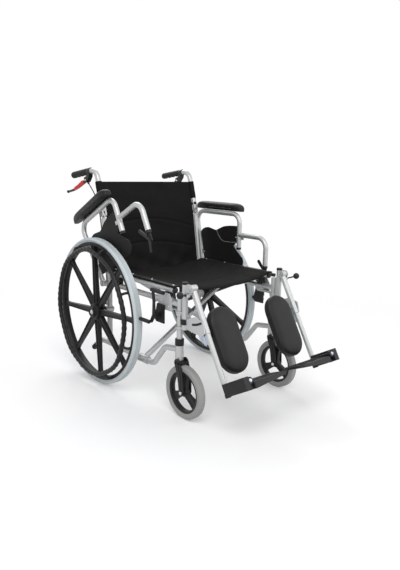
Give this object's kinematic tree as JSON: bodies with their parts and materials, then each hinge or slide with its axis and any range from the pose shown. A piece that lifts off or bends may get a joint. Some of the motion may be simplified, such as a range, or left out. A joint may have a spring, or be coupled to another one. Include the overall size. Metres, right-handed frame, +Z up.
{
  "type": "folding wheelchair",
  "caption": "Folding wheelchair with spoked rear wheels, handrims, swivel casters, flip-back armrests, swing-away elevating legrests with calf pads, and push handles with brake levers.",
  "frame": {"origin": "middle of the bounding box, on the floor", "axes": "+X forward, +Y to the sitter's left, +Z up"},
  "size_m": [1.1596, 0.711, 0.8888],
  "materials": {
    "silver_paint": "silver powder coat, satin",
    "steel": "bright steel",
    "zinc": "zinc plated",
    "black_plastic": "black moulded plastic",
    "cloth": "black woven nylon",
    "vinyl": "black padded vinyl",
    "grey_tyre": "pale blue-grey rubber",
    "caster_rubber": "mid grey rubber",
    "black_rubber": "black rubber",
    "red_plastic": "red moulded plastic"
  },
  "bodies": {
    "frame_right": {"side_frame_right": "silver_paint", "rear_axle_right": "steel", "wheel_lock_base_right": "black_plastic", "seat": "cloth"},
    "cross_a": {"cross_arm_a": "silver_paint"},
    "cross_b": {"cross_arm_b": "silver_paint"},
    "frame_left": {"side_frame_left": "silver_paint", "rear_axle_left": "steel", "wheel_lock_base_left": "black_plastic"},
    "wheel_right": {"rear_tyre_right": "grey_tyre", "rear_wheel_right": "black_plastic", "handrim_right": "black_plastic"},
    "wheel_left": {"rear_tyre_left": "grey_tyre", "rear_wheel_left": "black_plastic", "handrim_left": "black_plastic"},
    "caster_right": {"caster_fork_right": "black_plastic"},
    "caster_left": {"caster_fork_left": "black_plastic"},
    "caster_wheel_right": {"caster_tyre_right": "caster_rubber", "caster_wheel_right": "black_plastic"},
    "caster_wheel_left": {"caster_tyre_left": "caster_rubber", "caster_wheel_left": "black_plastic"},
    "back_right": {"upper_cane_right": "silver_paint", "grip_right": "black_rubber", "brake_bracket_right": "black_plastic", "brake_cable_right": "black_rubber", "back": "cloth"},
    "back_left": {"upper_cane_left": "silver_paint", "grip_left": "black_rubber", "brake_bracket_left": "black_plastic", "brake_cable_left": "black_rubber"},
    "brake_right": {"brake_lever_right": "black_plastic"},
    "brake_left": {"brake_lever_left": "black_plastic"},
    "park_right": {"parking_lock_right": "red_plastic"},
    "park_left": {"parking_lock_left": "red_plastic"},
    "arm_right": {"armrest_frame_right": "silver_paint", "arm_pad_right": "vinyl", "skirt_guard_right": "cloth"},
    "arm_left": {"armrest_frame_left": "silver_paint", "arm_pad_left": "vinyl", "skirt_guard_left": "cloth"},
    "latch_right": {"armrest_latch_right": "black_plastic"},
    "latch_left": {"armrest_latch_left": "black_plastic"},
    "lock_right": {"wheel_lock_lever_right": "black_plastic"},
    "lock_left": {"wheel_lock_lever_left": "black_plastic"},
    "hanger_right": {"legrest_hanger_right": "silver_paint"},
    "hanger_left": {"legrest_hanger_left": "silver_paint"},
    "release_right": {"release_lever_right": "black_plastic"},
    "release_left": {"release_lever_left": "black_plastic"},
    "leg_right": {"leg_tube_right": "silver_paint", "leg_slide_right": "zinc"},
    "leg_left": {"leg_tube_left": "silver_paint", "leg_slide_left": "zinc"},
    "foot_right": {"footplate_right": "black_plastic"},
    "foot_left": {"footplate_left": "black_plastic"},
    "calf_right": {"calf_arm_right": "zinc", "calf_pad_right": "vinyl"},
    "calf_left": {"calf_arm_left": "zinc", "calf_pad_left": "vinyl"}
  },
  "joints": [
    {"name": "cross_fold", "type": "hinge", "parent": "frame_right", "child": "cross_a", "pos_m": [0.01364, -0.248, 0.155], "axis": [1, 0, 0], "range_deg": [0, 45], "deforming": ["seat", "back"]},
    {"name": "cross_centre", "type": "hinge", "parent": "cross_a", "child": "cross_b", "pos_m": [-0.01436, 0, 0.31], "axis": [1, 0, 0], "range_deg": [-90, 0]},
    {"name": "frame_left_turn", "type": "hinge", "parent": "cross_b", "child": "frame_left", "pos_m": [-0.01436, 0.248, 0.155], "axis": [1, 0, 0], "range_deg": [0, 45]},
    {"name": "wheel_spin_right", "type": "hinge", "parent": "frame_right", "child": "wheel_right", "pos_m": [-0.23636, -0.307, 0.305], "axis": [0, 1, 0], "continuous": true},
    {"name": "wheel_spin_left", "type": "hinge", "parent": "frame_left", "child": "wheel_left", "pos_m": [-0.23636, 0.307, 0.305], "axis": [0, 1, 0], "continuous": true},
    {"name": "caster_swivel_right", "type": "hinge", "parent": "frame_right", "child": "caster_right", "pos_m": [0.23564, -0.248, 0.213], "axis": [0, 0, 1], "continuous": true},
    {"name": "caster_swivel_left", "type": "hinge", "parent": "frame_left", "child": "caster_left", "pos_m": [0.23564, 0.248, 0.213], "axis": [0, 0, 1], "continuous": true},
    {"name": "caster_spin_right", "type": "hinge", "parent": "caster_right", "child": "caster_wheel_right", "pos_m": [0.27164, -0.248, 0.1], "axis": [0, 1, 0], "continuous": true},
    {"name": "caster_spin_left", "type": "hinge", "parent": "caster_left", "child": "caster_wheel_left", "pos_m": [0.27164, 0.248, 0.1], "axis": [0, 1, 0], "continuous": true},
    {"name": "back_fold_right", "type": "hinge", "parent": "frame_right", "child": "back_right", "pos_m": [-0.27436, -0.248, 0.698], "axis": [0, -1, 0], "range_deg": [0, 90], "deforming": ["brake_cable_right"]},
    {"name": "back_fold_left", "type": "hinge", "parent": "frame_left", "child": "back_left", "pos_m": [-0.27436, 0.248, 0.698], "axis": [0, -1, 0], "range_deg": [0, 90], "deforming": ["brake_cable_left"]},
    {"name": "brake_squeeze_right", "type": "hinge", "parent": "back_right", "child": "brake_right", "pos_m": [-0.40436, -0.248, 0.836], "axis": [0, 1, 0], "range_deg": [0, 10], "stiffness_Nm_per_rad": 0.6, "springref_deg": -8.59},
    {"name": "brake_squeeze_left", "type": "hinge", "parent": "back_left", "child": "brake_left", "pos_m": [-0.40436, 0.248, 0.836], "axis": [0, 1, 0], "range_deg": [0, 10], "stiffness_Nm_per_rad": 0.6, "springref_deg": -8.59},
    {"name": "park_lock_right", "type": "hinge", "parent": "brake_right", "child": "park_right", "pos_m": [-0.43236, -0.248, 0.8245], "axis": [0, -1, 0], "range_deg": [0, 25]},
    {"name": "park_lock_left", "type": "hinge", "parent": "brake_left", "child": "park_left", "pos_m": [-0.43236, 0.248, 0.8245], "axis": [0, -1, 0], "range_deg": [0, 25]},
    {"name": "arm_lift_right", "type": "hinge", "parent": "frame_right", "child": "arm_right", "pos_m": [-0.23636, -0.275, 0.42], "axis": [0, -1, 0], "range_deg": [-27.6, 47.4]},
    {"name": "arm_lift_left", "type": "hinge", "parent": "frame_left", "child": "arm_left", "pos_m": [-0.23636, 0.275, 0.42], "axis": [0, -1, 0], "range_deg": [0, 75]},
    {"name": "arm_latch_right", "type": "hinge", "parent": "arm_right", "child": "latch_right", "pos_m": [0.09516, -0.275, 0.63845], "axis": [0, -1, 0], "range_deg": [0, 20], "stiffness_Nm_per_rad": 0.08, "springref_deg": -11.46},
    {"name": "arm_latch_left", "type": "hinge", "parent": "arm_left", "child": "latch_left", "pos_m": [0.15864, 0.275, 0.46], "axis": [0, -1, 0], "range_deg": [0, 20], "stiffness_Nm_per_rad": 0.08, "springref_deg": -11.46},
    {"name": "wheel_lock_right", "type": "hinge", "parent": "frame_right", "child": "lock_right", "pos_m": [0.13764, -0.29, 0.365], "axis": [0, -1, 0], "range_deg": [0, 30]},
    {"name": "wheel_lock_left", "type": "hinge", "parent": "frame_left", "child": "lock_left", "pos_m": [0.13764, 0.29, 0.365], "axis": [0, -1, 0], "range_deg": [0, 30]},
    {"name": "leg_swing_right", "type": "hinge", "parent": "frame_right", "child": "hanger_right", "pos_m": [0.23564, -0.248, 0.36], "axis": [0, 0, -1], "range_deg": [0, 90]},
    {"name": "leg_swing_left", "type": "hinge", "parent": "frame_left", "child": "hanger_left", "pos_m": [0.23564, 0.248, 0.36], "axis": [0, 0, 1], "range_deg": [0, 90]},
    {"name": "release_right", "type": "hinge", "parent": "hanger_right", "child": "release_right", "pos_m": [0.28364, -0.261, 0.462], "axis": [-1, 0, 0], "range_deg": [0, 15], "stiffness_Nm_per_rad": 0.12, "springref_deg": -11.46},
    {"name": "release_left", "type": "hinge", "parent": "hanger_left", "child": "release_left", "pos_m": [0.28364, 0.261, 0.462], "axis": [1, 0, 0], "range_deg": [0, 15], "stiffness_Nm_per_rad": 0.12, "springref_deg": -11.46},
    {"name": "leg_raise_right", "type": "hinge", "parent": "hanger_right", "child": "leg_right", "pos_m": [0.29364, -0.235, 0.487], "axis": [0, -1, 0], "range_deg": [-10, 55]},
    {"name": "leg_raise_left", "type": "hinge", "parent": "hanger_left", "child": "leg_left", "pos_m": [0.29364, 0.235, 0.487], "axis": [0, -1, 0], "range_deg": [-10, 55]},
    {"name": "foot_flip_right", "type": "hinge", "parent": "leg_right", "child": "foot_right", "pos_m": [0.5246, -0.2185, 0.20696], "axis": [0.866, 0, 0.5], "range_deg": [0, 90]},
    {"name": "foot_flip_left", "type": "hinge", "parent": "leg_left", "child": "foot_left", "pos_m": [0.5246, 0.2185, 0.20696], "axis": [-0.866, 0, -0.5], "range_deg": [0, 90]},
    {"name": "calf_swing_right", "type": "hinge", "parent": "leg_right", "child": "calf_right", "pos_m": [0.36218, -0.2175, 0.33028], "axis": [-0.5, 0, 0.866], "range_deg": [0, 90]},
    {"name": "calf_swing_left", "type": "hinge", "parent": "leg_left", "child": "calf_left", "pos_m": [0.36218, 0.2175, 0.33028], "axis": [0.5, 0, -0.866], "range_deg": [0, 90]}
  ],
  "couplings": [
    {"joint": "cross_centre", "follows": "cross_fold", "ratio": -2},
    {"joint": "frame_left_turn", "follows": "cross_fold", "ratio": 1},
    {"joint": "foot_flip_right", "follows": "cross_fold", "ratio": 2},
    {"joint": "foot_flip_left", "follows": "cross_fold", "ratio": 2},
    {"joint": "calf_swing_right", "follows": "cross_fold", "ratio": 2},
    {"joint": "calf_swing_left", "follows": "cross_fold", "ratio": 2},
    {"joint": "back_fold_left", "follows": "back_fold_right", "ratio": 1}
  ]
}
